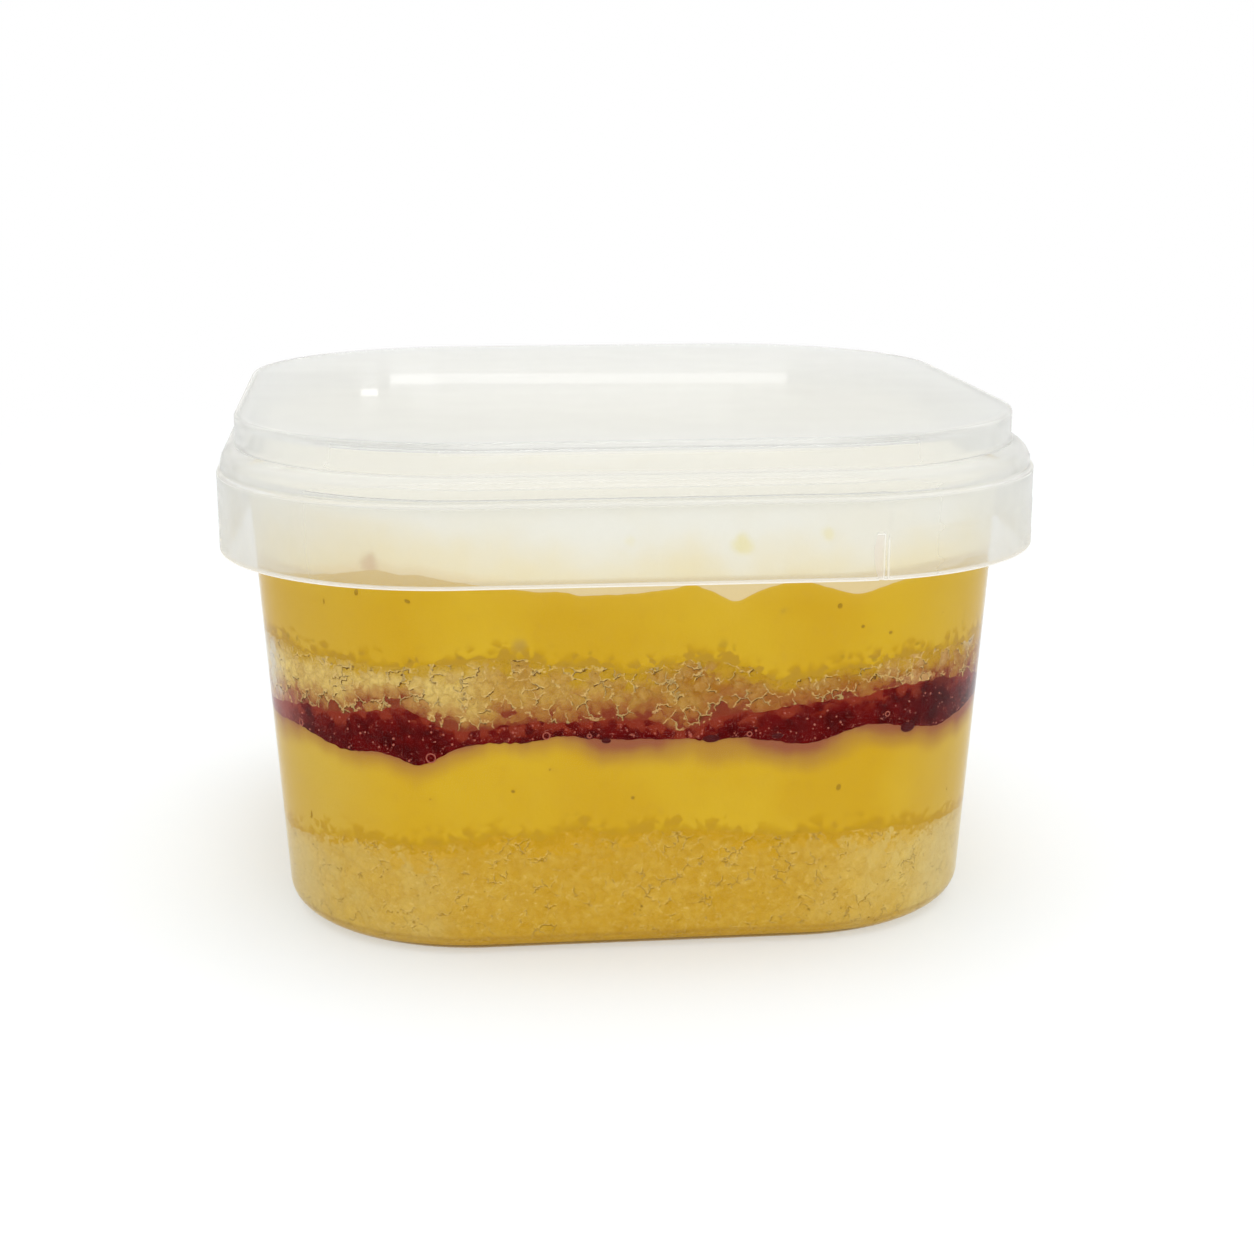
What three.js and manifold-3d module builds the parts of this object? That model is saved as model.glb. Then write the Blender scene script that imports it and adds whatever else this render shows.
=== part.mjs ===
// A layered cake pot: a clear rounded-square tub with a press-on lid, filled with sponge, fruit curd,
// berry jam and cream. Millimetres, +Z up. The tub stands on z = 0 with the middle of its base at the
// origin, its sides square to X and Y, and the side that shows in front faces -Y.

import * as THREE from 'three';
import { mergeVertices } from 'three/addons/utils/BufferGeometryUtils.js';
import Module from 'manifold-3d';

const wasm = await Module();
wasm.setup();

// The tub. A half is half of a width across flats, and a corner is the radius of a rounded corner.
const LID_HALF = 45;
const TOTAL_HEIGHT = 56;
const SKIRT_BOTTOM = 41.8;
const WALL = 0.8;
const CLEAR = 0.3;
const BASE_HALF = 38.65;
const BASE_CORNER = 20.8;
const WALL_SLOPE = 0.066;
const CORNER_SLOPE = 0.081;
const BASE_FILLET = 3;
const BASE_RING = 20;
const RIM_HALF = 43.5;
const RIM_TOP = 51.3;
const RIM_THICK = 0.9;
const RIM_DROP = 1.8;
const RIM_ROUND = 0.4;
const RIM_LIP = 0.5;
const MID_HEIGHT = 22;

// The lid: a flat plateau on an upright wall, a round shoulder, a small step and a plain skirt.
const PLATEAU_HALF = 43.1;
const PLATEAU_EDGE = 0.5;
const PLATEAU_CORNER_SHARE = 0.615;
const SHOULDER_HALF = 44.6;
const SHOULDER_TOP = 52.7;
const SHOULDER_BOTTOM = 51;
const SHOULDER_SWEEP = 78;
const SHOULDER_INSET = 1.3;
const SHOULDER_SINK = 0.95;
const STEP_BOTTOM = 50.2;
const SKIRT_CORNER_SHARE = 0.56;
const SKIRT_INSIDE = 44;
const BEAD_HEIGHT = 1.2;
const SKIRT_EDGE = 0.2;
const PLATEAU_RING = 24;
const CORNER_BLEND = 0.6;

// The tear strip: a band of the skirt on the front right corner and the right side. It begins at a slot
// with a straight right side and a bowed left side.
const STRIP_START = -62.6;
const STRIP_END = 40;
const STRIP_TOP = 46.4;
const STRIP_PROUD = 0.25;
const SLOT_HEIGHT = 5;
const SLOT_DEPTH = 0.4;
const SLOT_RIGHT_FOOT = 0.77;
const SLOT_RIGHT_TOP = 0.85;
const SLOT_LEFT_FOOT = 0.5;
const SLOT_LEFT_TOP = 0.7;
const SLOT_LEFT_BOW = 1.3;
const SLOT_OUTWARD = [0.12, -0.99, 0];

// The surfaces between the layers, from the bottom up. Each has a mean level and the height of its slow
// roll. Its front list holds the humps and hollows along the front wall: place on X, half-width and rise.
const FLOOR_TOP = { level: WALL + CLEAR / 2, roll: 0, phase: 0, front: [] };
const BASE_SPONGE_TOP = {
  level: 13, roll: 0.5, phase: 0.4,
  front: [
    [-40, 5, -2.6], [-26, 5, -0.5], [-16, 3, 0.6], [-7.5, 2.5, 1.2],
    [3, 8, 0.6], [16, 5, -0.5], [36, 9, -1.4],
  ],
};
const LOWER_CURD_TOP = {
  level: 24.1, roll: 0.8, phase: 2,
  front: [
    [-32, 5, -2], [-24, 3, -2.4], [-9, 3, 0.5], [7, 2, -0.5],
    [16, 4, -1], [24, 3, 0.6], [33, 4.5, -1.3],
  ],
};
const JAM_TOP = {
  level: 26.2, roll: 0.9, phase: 2.3,
  front: [
    [-41, 3, -1.5], [-26.5, 3.5, 1.5], [-19, 2.5, -0.9], [3.5, 2.8, -1.2],
    [29, 14, 2.3],
  ],
};
const MIDDLE_SPONGE_TOP = {
  level: 32.4, roll: 0.7, phase: 4.1,
  front: [
    [-38.5, 1.6, 0.8], [-16, 4.5, 1.2], [-2, 2.8, -0.9], [15, 5, -2.3],
    [24, 5, -0.8], [37, 6, -1.2],
  ],
};
const UPPER_CURD_TOP = {
  level: 40.4, roll: 0.7, phase: 5.6,
  front: [
    [-29, 1.5, 0.9], [-26, 9, 1.9], [-5, 6, -0.5], [8.8, 2, -1.4],
    [22, 3, -1.1], [38, 8, 0.8],
  ],
};
const CREAM_TOP = { level: 50, roll: 0.45, phase: 1.2, front: [[-20, 9, 0.3], [14, 12, 0.2]] };

// Reach of the front humps into the pot, from all to none.
const FRONT_NEAR = -38;
const FRONT_FAR = -18;

// The slow roll is a long and a short wave, each leaning across the pot by a share of the other axis.
const LONG_ROLL = 61;
const LONG_LEAN = 0.8;
const LONG_SHARE = 0.65;
const SHORT_ROLL = 27;
const SHORT_LEAN = 0.6;

// Relief on the crumb of a sponge and on a soft layer, and the wavelengths of its lumps.
const CRUMB = 0.35;
const SOFT = 0.12;
const COARSE_LUMP = 3.5;
const FINE_LUMP = 1.9;
const LUMP_LEAN = 0.4;
const COARSE_SHARE = 0.6;

// Segments round a piece, and how far they bunch up towards the corners.
const PACK_SEGMENTS = 56;
const FOOD_SEGMENTS = 72;
const BUNCH = 0.09;

// Rings of a layer's top and bottom faces, as shares of its half-width.
const RINGS = [0, 0.45, 0.86];

const clamp = THREE.MathUtils.clamp;
const lerp = THREE.MathUtils.lerp;
const smoothstep = THREE.MathUtils.smoothstep;
const radians = THREE.MathUtils.degToRad;

// Distance from the axis to a rounded square of half-width 1, in the direction of an angle.
function squareReach(angle, cornerShare) {
  const c = Math.abs(Math.cos(angle));
  const s = Math.abs(Math.sin(angle));
  const flat = 1 - cornerShare;
  const side = 1 / Math.max(c, s);
  if (side * Math.min(c, s) <= flat) {
    return side;
  }
  const along = flat * (c + s);
  return along + Math.sqrt(along * along - 2 * flat * flat + cornerShare * cornerShare);
}

function wallHalf(z) {
  return BASE_HALF + WALL_SLOPE * z;
}

function tubCornerShare(z) {
  return (BASE_CORNER + CORNER_SLOPE * z) / wallHalf(z);
}

function lidCornerShare(z) {
  const rise = smoothstep(z, STEP_BOTTOM, SHOULDER_TOP + CORNER_BLEND);
  return lerp(SKIRT_CORNER_SHARE, PLATEAU_CORNER_SHARE, rise);
}

// Turns a profile about the axis and gives each point a new place: place(rho, height, angle) returns
// [x, y, z]. The last backRows of the profile run back to the axis, and their squares are split along the
// other diagonal, so that a layer's top face has the same triangles as the bottom face that lies on it.
function turned(profile, segments, place, backRows = 0) {
  const outline = profile.map(([rho, height]) => new THREE.Vector2(rho, height));
  const geometry = new THREE.LatheGeometry(outline, segments);
  const position = geometry.attributes.position;
  const rows = profile.length;
  const index = geometry.index;
  for (let k = 0; k < index.count; k += 6) {
    const [a, b, d, c] = [index.getX(k), index.getX(k + 1), index.getX(k + 2), index.getX(k + 3)];
    if (a % rows >= rows - 1 - backRows) {
      [a, b, c, a, c, d].forEach((corner, n) => index.setX(k + n, corner));
    }
  }
  for (let i = 0; i < position.count; i += 1) {
    const turn = (Math.floor(i / rows) % segments) / segments * 2 * Math.PI;
    const angle = turn + BUNCH * Math.sin(4 * turn);
    const [rho, height] = profile[i % rows];
    position.setXYZ(i, ...place(rho, height, angle));
  }
  return closed(geometry);
}

// Joins shared corners and drops the faces that have shrunk to a line on the axis.
function closed(geometry) {
  geometry.deleteAttribute('normal');
  geometry.deleteAttribute('uv');
  const merged = mergeVertices(geometry, 1e-4);
  const index = merged.index.array;
  const kept = [];
  for (let i = 0; i < index.length; i += 3) {
    const [a, b, c] = [index[i], index[i + 1], index[i + 2]];
    if (a !== b && b !== c && c !== a) {
      kept.push(a, b, c);
    }
  }
  merged.setIndex(kept);
  merged.computeVertexNormals();
  return merged;
}

function arc(cx, cz, radius, from, to, steps) {
  const points = [];
  for (let i = 0; i <= steps; i += 1) {
    const a = radians(lerp(from, to, i / steps));
    points.push([cx + radius * Math.cos(a), cz + radius * Math.sin(a)]);
  }
  return points;
}

function onRoundedSquare(cornerShare) {
  return (rho, z, angle) => {
    const reach = rho * squareReach(angle, cornerShare(z));
    return [reach * Math.cos(angle), reach * Math.sin(angle), z];
  };
}

// The tub: flat base, round base edge, sloping wall and an outward rim with a short turned-down edge.
function tub() {
  const rimFoot = RIM_TOP - RIM_DROP;
  const innerFillet = BASE_FILLET - WALL;
  const filletHalf = wallHalf(BASE_FILLET);
  const profile = [
    [0, 0],
    [BASE_RING, 0],
    ...arc(filletHalf - BASE_FILLET, BASE_FILLET, BASE_FILLET, -90, 0, 4),
    [wallHalf(MID_HEIGHT), MID_HEIGHT],
    [wallHalf(RIM_TOP - RIM_THICK), RIM_TOP - RIM_THICK],
    [RIM_HALF - RIM_LIP, RIM_TOP - RIM_THICK],
    [RIM_HALF - RIM_LIP, rimFoot],
    [RIM_HALF, rimFoot],
    [RIM_HALF, RIM_TOP - RIM_ROUND],
    [RIM_HALF - RIM_ROUND, RIM_TOP],
    [wallHalf(RIM_TOP) - WALL + RIM_ROUND, RIM_TOP],
    [wallHalf(RIM_TOP) - WALL, RIM_TOP - RIM_ROUND],
    [wallHalf(MID_HEIGHT) - WALL, MID_HEIGHT],
    ...arc(filletHalf - BASE_FILLET, BASE_FILLET, innerFillet, 0, -90, 3),
    [BASE_RING, WALL],
    [0, WALL],
  ];
  return turned(profile, PACK_SEGMENTS, onRoundedSquare(tubCornerShare));
}

// How far the skirt is drawn in, so that the tear strip stands proud of it and its foot bead prouder still.
function stripInset(rho, z, angle) {
  const degrees = THREE.MathUtils.radToDeg(Math.atan2(Math.sin(angle), Math.cos(angle)));
  if (rho <= SKIRT_INSIDE || z >= SHOULDER_BOTTOM || degrees < STRIP_START || degrees > STRIP_END) {
    return 0;
  }
  if (z > STRIP_TOP) {
    return 2 * STRIP_PROUD;
  }
  return z > SKIRT_BOTTOM + BEAD_HEIGHT ? STRIP_PROUD : 0;
}

function skirtSlot() {
  const shape = new THREE.Shape();
  shape.moveTo(-SLOT_LEFT_FOOT, -WALL);
  shape.lineTo(SLOT_RIGHT_FOOT, -WALL);
  shape.lineTo(SLOT_RIGHT_TOP, SLOT_HEIGHT);
  shape.lineTo(-SLOT_LEFT_TOP, SLOT_HEIGHT);
  shape.quadraticCurveTo(-SLOT_LEFT_BOW, SLOT_HEIGHT / 2, -SLOT_LEFT_FOOT, SLOT_DEPTH);
  shape.closePath();
  const cut = { depth: 2 * WALL, bevelEnabled: false, curveSegments: 5 };
  const geometry = new THREE.ExtrudeGeometry(shape, cut);
  const angle = radians(STRIP_START);
  const reach = LID_HALF * squareReach(angle, SKIRT_CORNER_SHARE);
  const out = new THREE.Vector3(...SLOT_OUTWARD).normalize();
  const up = new THREE.Vector3(0, 0, 1);
  const across = new THREE.Vector3().crossVectors(up, out);
  const frame = new THREE.Matrix4().makeBasis(across, up, out);
  const place = new THREE.Vector3(reach * Math.cos(angle), reach * Math.sin(angle), SKIRT_BOTTOM);
  frame.setPosition(place.addScaledVector(out, -SLOT_DEPTH));
  return closed(geometry.applyMatrix4(frame));
}

function solid(geometry) {
  const vertProperties = new Float32Array(geometry.attributes.position.array);
  const triVerts = new Uint32Array(geometry.index.array);
  return new wasm.Manifold(new wasm.Mesh({ numProp: 3, vertProperties, triVerts }));
}

function cutFrom(geometry, cutter) {
  const mesh = solid(geometry).subtract(solid(cutter)).getMesh();
  const result = new THREE.BufferGeometry();
  result.setAttribute('position', new THREE.BufferAttribute(new Float32Array(mesh.vertProperties), 3));
  result.setIndex([...mesh.triVerts]);
  result.computeVertexNormals();
  return result;
}

// The lid, one thin shell of even wall, with the tear slot cut a little way into its skirt.
function lid() {
  const under = TOTAL_HEIGHT - WALL;
  const shoulder = SHOULDER_TOP - SHOULDER_BOTTOM;
  const profile = [
    [0, under],
    [PLATEAU_RING, under],
    [PLATEAU_HALF - WALL - PLATEAU_EDGE, under],
    [PLATEAU_HALF - WALL, under - PLATEAU_EDGE],
    [PLATEAU_HALF - WALL, SHOULDER_TOP - WALL],
    [SHOULDER_HALF - SHOULDER_INSET, SHOULDER_TOP - SHOULDER_SINK],
    [SKIRT_INSIDE - SKIRT_EDGE, SHOULDER_BOTTOM - SKIRT_EDGE],
    [SKIRT_INSIDE, STEP_BOTTOM - WALL],
    [SKIRT_INSIDE, STRIP_TOP],
    [SKIRT_INSIDE, SKIRT_BOTTOM],
    [LID_HALF - SKIRT_EDGE, SKIRT_BOTTOM],
    [LID_HALF, SKIRT_BOTTOM + SKIRT_EDGE],
    [LID_HALF, SKIRT_BOTTOM + BEAD_HEIGHT],
    [LID_HALF, SKIRT_BOTTOM + BEAD_HEIGHT + SKIRT_EDGE],
    [LID_HALF, STRIP_TOP],
    [LID_HALF, STRIP_TOP + SKIRT_EDGE],
    [LID_HALF, STEP_BOTTOM - SKIRT_EDGE],
    [SHOULDER_HALF, STEP_BOTTOM],
    ...arc(SHOULDER_HALF - shoulder, SHOULDER_BOTTOM, shoulder, 0, SHOULDER_SWEEP, 4),
    [PLATEAU_HALF, SHOULDER_TOP],
    ...arc(PLATEAU_HALF - PLATEAU_EDGE, TOTAL_HEIGHT - PLATEAU_EDGE, PLATEAU_EDGE, 0, 90, 2),
    [PLATEAU_RING, TOTAL_HEIGHT],
    [0, TOTAL_HEIGHT],
  ];
  const place = (rho, z, angle) => {
    const reach = (rho - stripInset(rho, z, angle)) * squareReach(angle, lidCornerShare(z));
    return [reach * Math.cos(angle), reach * Math.sin(angle), z];
  };
  return cutFrom(turned(profile, PACK_SEGMENTS, place), skirtSlot());
}

function wave(distance, wavelength, phase = 0) {
  return Math.sin(distance / wavelength * 2 * Math.PI + phase);
}

function hump(x, [at, width, rise]) {
  return rise * Math.exp(-(((x - at) / width) ** 2));
}

// Height of the surface between two layers. The front follows its own list, the rest rolls slowly.
function surfaceHeight(surface, x, y) {
  const near = 1 - smoothstep(y, FRONT_NEAR, FRONT_FAR);
  const front = surface.front.reduce((sum, entry) => sum + hump(x, entry), 0);
  const long = wave(LONG_LEAN * x + y, LONG_ROLL, surface.phase);
  const short = wave(x - SHORT_LEAN * y, SHORT_ROLL, 2 * surface.phase);
  const roll = surface.roll * lerp(short, long, LONG_SHARE);
  return surface.level + near * front + (1 - near) * roll;
}

// Half-width that the food may fill at a height, inside the wall and its base fillet.
function foodHalf(z) {
  const radius = BASE_FILLET - WALL - CLEAR;
  const above = clamp(z - WALL - CLEAR, 0, radius);
  const tuck = radius - Math.sqrt(radius * radius - (radius - above) ** 2);
  return wallHalf(z) - WALL - CLEAR - tuck;
}

// Small lumps, from -1 to 1, that differ all over the pot.
function lumps(x, y, z) {
  const coarse = wave(x + LUMP_LEAN * z, COARSE_LUMP) * wave(y - LUMP_LEAN * z, COARSE_LUMP);
  const fine = wave(x - LUMP_LEAN * y, FINE_LUMP) * wave(z + LUMP_LEAN * x, FINE_LUMP);
  return lerp(fine, coarse, COARSE_SHARE);
}

// One layer of food, from the surface below it to the surface above it. Its rows run out along the bottom,
// up the side and back along the top. Each is a share of the half-width and a share of the layer's height.
function layer(below, above, relief, sideRows) {
  const out = RINGS.map((share) => [share, 0]);
  const back = RINGS.map((share) => [share, 1]).reverse();
  const rows = [...out, ...sideRows.map((level) => [1, level]), ...back];
  const place = (share, level, angle) => {
    const middle = lerp(below.level, above.level, level);
    const reach = share * foodHalf(middle) * squareReach(angle, tubCornerShare(middle));
    const [x, y] = [reach * Math.cos(angle), reach * Math.sin(angle)];
    const bottom = surfaceHeight(below, x, y) + CLEAR / 2;
    const top = surfaceHeight(above, x, y) - CLEAR / 2;
    const z = lerp(bottom, top, level);
    const dent = level > 0 && level < 1 ? relief * (1 + lumps(x, y, z)) / 2 : 0;
    const far = share * (foodHalf(z) - dent) * squareReach(angle, tubCornerShare(z));
    return [far * Math.cos(angle), far * Math.sin(angle), z];
  };
  return turned(rows, FOOD_SEGMENTS, place, RINGS.length);
}

// Shares of a layer's height at which its side has a row. The bottom one is rounded at its foot.
const BASE_ROWS = [0, 0.05, 0.12, 0.4, 0.7, 1];
const SPONGE_ROWS = [0, 0.33, 0.67, 1];
const SOFT_ROWS = [0, 0.5, 1];

const clearPlastic = { color: 0xe6e7e5, roughness: 0.18, metalness: 0, transparent: true, opacity: 0.3 };
const frostedPlastic = { color: 0xe8e8e6, roughness: 0.3, metalness: 0, transparent: true, opacity: 0.5 };

const materials = {
  tub: new THREE.MeshStandardMaterial(clearPlastic),
  lid: new THREE.MeshStandardMaterial(frostedPlastic),
  sponge: new THREE.MeshStandardMaterial({ color: 0xd0ac58, roughness: 0.9, metalness: 0 }),
  soakedSponge: new THREE.MeshStandardMaterial({ color: 0xb88a48, roughness: 0.8, metalness: 0 }),
  curd: new THREE.MeshStandardMaterial({ color: 0xd2a828, roughness: 0.35, metalness: 0 }),
  jam: new THREE.MeshStandardMaterial({ color: 0x781a16, roughness: 0.3, metalness: 0 }),
  cream: new THREE.MeshStandardMaterial({ color: 0xf3ecd9, roughness: 0.6, metalness: 0 }),
};

function piece(name, geometry, material) {
  const mesh = new THREE.Mesh(geometry, material);
  mesh.name = name;
  return mesh;
}

const cakePot = new THREE.Group();
cakePot.add(
  piece('tub', tub(), materials.tub),
  piece('lid', lid(), materials.lid),
  piece('base_sponge', layer(FLOOR_TOP, BASE_SPONGE_TOP, CRUMB, BASE_ROWS), materials.sponge),
  piece('lower_curd', layer(BASE_SPONGE_TOP, LOWER_CURD_TOP, SOFT, SOFT_ROWS), materials.curd),
  piece('berry_jam', layer(LOWER_CURD_TOP, JAM_TOP, SOFT, SOFT_ROWS), materials.jam),
  piece('middle_sponge', layer(JAM_TOP, MIDDLE_SPONGE_TOP, CRUMB, SPONGE_ROWS), materials.soakedSponge),
  piece('upper_curd', layer(MIDDLE_SPONGE_TOP, UPPER_CURD_TOP, SOFT, SOFT_ROWS), materials.curd),
  piece('cream', layer(UPPER_CURD_TOP, CREAM_TOP, SOFT, SOFT_ROWS), materials.cream),
);

export default cakePot;
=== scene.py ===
import math
import random

import bpy
import numpy as np
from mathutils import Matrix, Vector, noise

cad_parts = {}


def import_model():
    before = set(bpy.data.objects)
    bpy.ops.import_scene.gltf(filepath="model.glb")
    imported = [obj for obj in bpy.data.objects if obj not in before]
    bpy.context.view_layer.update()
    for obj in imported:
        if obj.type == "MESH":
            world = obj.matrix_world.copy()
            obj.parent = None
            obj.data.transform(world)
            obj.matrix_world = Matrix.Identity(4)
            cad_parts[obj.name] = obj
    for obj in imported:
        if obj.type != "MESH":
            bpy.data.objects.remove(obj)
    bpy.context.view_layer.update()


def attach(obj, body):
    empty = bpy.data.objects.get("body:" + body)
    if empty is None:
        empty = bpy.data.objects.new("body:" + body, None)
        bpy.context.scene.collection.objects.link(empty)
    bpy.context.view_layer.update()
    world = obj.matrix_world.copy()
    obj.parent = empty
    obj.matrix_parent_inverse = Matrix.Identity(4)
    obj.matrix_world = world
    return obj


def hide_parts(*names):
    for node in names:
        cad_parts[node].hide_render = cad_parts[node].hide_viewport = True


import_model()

# Everything is laid out in millimetres, with +Z up and the shown side facing -Y. MM scales it to metres.
MM = 0.001

# Form of the tub and the lid. A half is half of a width across flats, a share is a corner's radius over
# its half, and the tear strip starts and ends at angles in degrees.
LID_HALF = 45.0
TOTAL_HEIGHT = 56.0
SKIRT_BOTTOM = 41.65
WALL = 0.8
BASE_HALF = 38.65
BASE_CORNER = 20.8
WALL_SLOPE = 0.066
CORNER_SLOPE = 0.081
BASE_FILLET = 3.0
BASE_RING = 20.0
RIM_HALF = 43.5
RIM_TOP = 51.3
RIM_THICK = 0.9
RIM_DROP = 1.8
RIM_LIP = 0.5
PLATEAU_HALF = 43.1
PLATEAU_EDGE = 0.4
SHOULDER_HALF = 44.6
SHOULDER_TOP = 52.7
SHOULDER_BOTTOM = 51.0
STEP_BOTTOM = 50.2
SKIRT_INSIDE = 44.0
BEAD_HEIGHT = 1.2
SKIRT_SHARE = 0.56
PLATEAU_SHARE = 0.615
STRIP_START = -62.6
STRIP_END = 40.0
STRIP_TOP = 46.4
STRIP_PROUD = 0.1
SLOT_DEPTH = 0.35
SLOT_HEIGHT = 4.6
SLOT_LEFT = 22.9
SLOT_BOW = 0.65
SLOT_RIGHT = 23.4
SLOT_BLUR = 0.1
LIP_PLACE = 23.85
LIP_WIDTH = 0.13
LIP_DEPTH = 0.12
TUB_SEGMENTS = 560
LID_SEGMENTS = 960
SKIRT_ROWS = 30

# The food reaches this far into the wall and the base of the tub.
SEAT = 0.2
FOOD_FLOOR = WALL - SEAT

# Surfaces between the layers, from the bottom up: mean level, slow roll, phase, raggedness as
# (height, length) pairs, humps along the front wall as (place on X, half-width, rise), and dips round
# its corners as (side, place on Y, half-width, rise).
FRONT_NEAR, FRONT_FAR = -38.0, -18.0
LONG_ROLL, SHORT_ROLL = 61.0, 27.0
SURFACES = {
    "base_sponge_top": dict(
        level=13.0, roll=0.5, phase=0.4, ragged=((0.30, 2.2), (0.28, 0.8)),
        front=((-40, 5, -2.6), (-26, 5, -0.5), (-16, 3, 0.6), (-7.5, 2.5, 1.2),
               (3, 8, 0.6), (16, 5, -0.5), (36, 9, -1.4)),
        dips=((-1, -22, 8, -2.8), (1, -24, 7, -2.0))),
    "lower_curd_top": dict(
        level=24.1, roll=0.8, phase=2.0, ragged=((0.24, 3.4), (0.14, 1.0), (0.12, 0.55)),
        front=((-32, 5, -2), (-24, 3, -2.4), (-9, 3, 0.5), (7, 2, -0.5),
               (16, 4, -1), (24, 3, 0.6), (33, 4.5, -1.3)),
        dips=((-1, -22, 6, -0.7),)),
    "berry_jam_top": dict(
        level=26.2, roll=0.9, phase=2.3, ragged=((0.35, 2.4), (0.30, 0.9)),
        front=((-41, 3, -1.5), (-26.5, 3.5, 1.5), (-19, 2.5, -0.9), (3.5, 2.8, -1.2),
               (29, 14, 2.3)),
        dips=((-1, -21, 6, -1.2),)),
    "middle_sponge_top": dict(
        level=32.4, roll=0.7, phase=4.1, ragged=((0.38, 2.6), (0.30, 0.9)),
        front=((-38.5, 1.6, 0.8), (-16, 4.5, 1.2), (-2, 2.8, -0.9), (15, 5, -2.3),
               (24, 5, -0.8), (37, 6, -1.2))),
    "upper_curd_top": dict(
        level=40.4, roll=0.7, phase=5.6, ragged=((0.22, 3.0), (0.08, 1.0)),
        front=((-29, 2.2, 0.4), (-26, 9, 1.9), (-5, 6, -0.5), (4, 1.2, 0.55), (8.8, 2, -1.4),
               (15.3, 2.4, 0.5), (22, 3, -1.1), (38, 8, 0.8))),
    "cream_top": dict(
        level=50.0, roll=0.45, phase=1.2, ragged=((0.25, 7.0), (0.1, 2.2)),
        front=((-20, 9, 0.3), (14, 12, 0.2))),
}

# Heights over which the edge between curd and cream blurs behind the skirt.
BLUR_LOW, BLUR_HIGH = 40.6, 42.2

# Camera.
EYE = Vector((-25.93, -250.85, 89.15)) * MM
LOOK_AT = Vector((0, 0, 23.684)) * MM
LENS = 60.89
SENSOR = 36.0
SHIFT = (0.01342, 0.0165)


def smoothstep(value, low, high):
    t = np.clip((value - low) / (high - low), 0, 1)
    return t * t * (3 - 2 * t)


def lerp(a, b, t):
    return a + (b - a) * t


# Distance from the axis to a rounded square of half-width 1, in the direction of each angle.
def square_reach(angle, share):
    c, s = np.abs(np.cos(angle)), np.abs(np.sin(angle))
    flat = 1 - share
    side = 1 / np.maximum(c, s)
    along = flat * (c + s)
    corner = along + np.sqrt(np.maximum(along * along - 2 * flat * flat + share * share, 0))
    return np.where(side * np.minimum(c, s) <= flat, side, corner)


def wall_half(z):
    return BASE_HALF + WALL_SLOPE * z


def tub_share(z):
    return (BASE_CORNER + CORNER_SLOPE * z) / wall_half(z)


def lid_share(z):
    return lerp(SKIRT_SHARE, PLATEAU_SHARE, smoothstep(z, STEP_BOTTOM, SHOULDER_TOP + 0.6))


# Angles all round, closer together where density(angle) is higher.
def spread_angles(count, density):
    fine = np.linspace(-math.pi, math.pi, 20001)
    weight = density(fine)
    total = np.concatenate([[0], np.cumsum((weight[1:] + weight[:-1]) / 2)])
    return np.interp(np.arange(count) / count * total[-1], total, fine)


# Points along an arc, from one angle in degrees to another.
def arc(cx, cz, radius, start, end, steps):
    turns = np.radians(np.linspace(start, end, steps + 1))
    return [(cx + radius * math.cos(t), cz + radius * math.sin(t)) for t in turns]


# A closed skin through rings of points, with a point on the axis at each end.
def skin(name, rings, first, last, values=None):
    rows, count, _ = rings.shape
    vertices = np.concatenate([rings.reshape(-1, 3), [first, last]]) * MM
    i = np.arange(rows - 1)[:, None] * count
    j = np.arange(count)[None, :]
    k = (np.arange(count)[None, :] + 1) % count
    quads = np.stack([i + j, i + k, i + count + k, i + count + j], axis=-1).reshape(-1, 4)
    j, k = j[0], k[0]
    top = (rows - 1) * count
    low = np.stack([k, j, np.full(count, rows * count)], axis=-1)
    high = np.stack([top + j, top + k, np.full(count, rows * count + 1)], axis=-1)
    mesh = bpy.data.meshes.new(name)
    mesh.from_pydata(vertices.tolist(), [], quads.tolist() + low.tolist() + high.tolist())
    mesh.shade_smooth()
    for key, grid in (values or {}).items():
        layer = mesh.attributes.new(key, "FLOAT", "POINT")
        flat = np.concatenate([grid.reshape(-1), [grid[0].mean(), grid[-1].mean()]])
        layer.data.foreach_set("value", flat.astype(np.float32))
    piece = bpy.data.objects.new(name, mesh)
    bpy.context.scene.collection.objects.link(piece)
    return piece


# One mesh of many small pieces, from lists of vertices (in millimetres) and faces.
def scatter(name, parts):
    vertices, faces = [], []
    for points, polygons in parts:
        base = len(vertices)
        vertices += [tuple(p * MM for p in point) for point in points]
        faces += [tuple(base + n for n in polygon) for polygon in polygons]
    mesh = bpy.data.meshes.new(name)
    mesh.from_pydata(vertices, [], faces)
    mesh.shade_smooth()
    piece = bpy.data.objects.new(name, mesh)
    bpy.context.scene.collection.objects.link(piece)
    return piece


def srgb(r, g, b):
    return tuple((c / 255 / 12.92) if c <= 10 else ((c / 255 + 0.055) / 1.055) ** 2.4 for c in (r, g, b))


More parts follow.
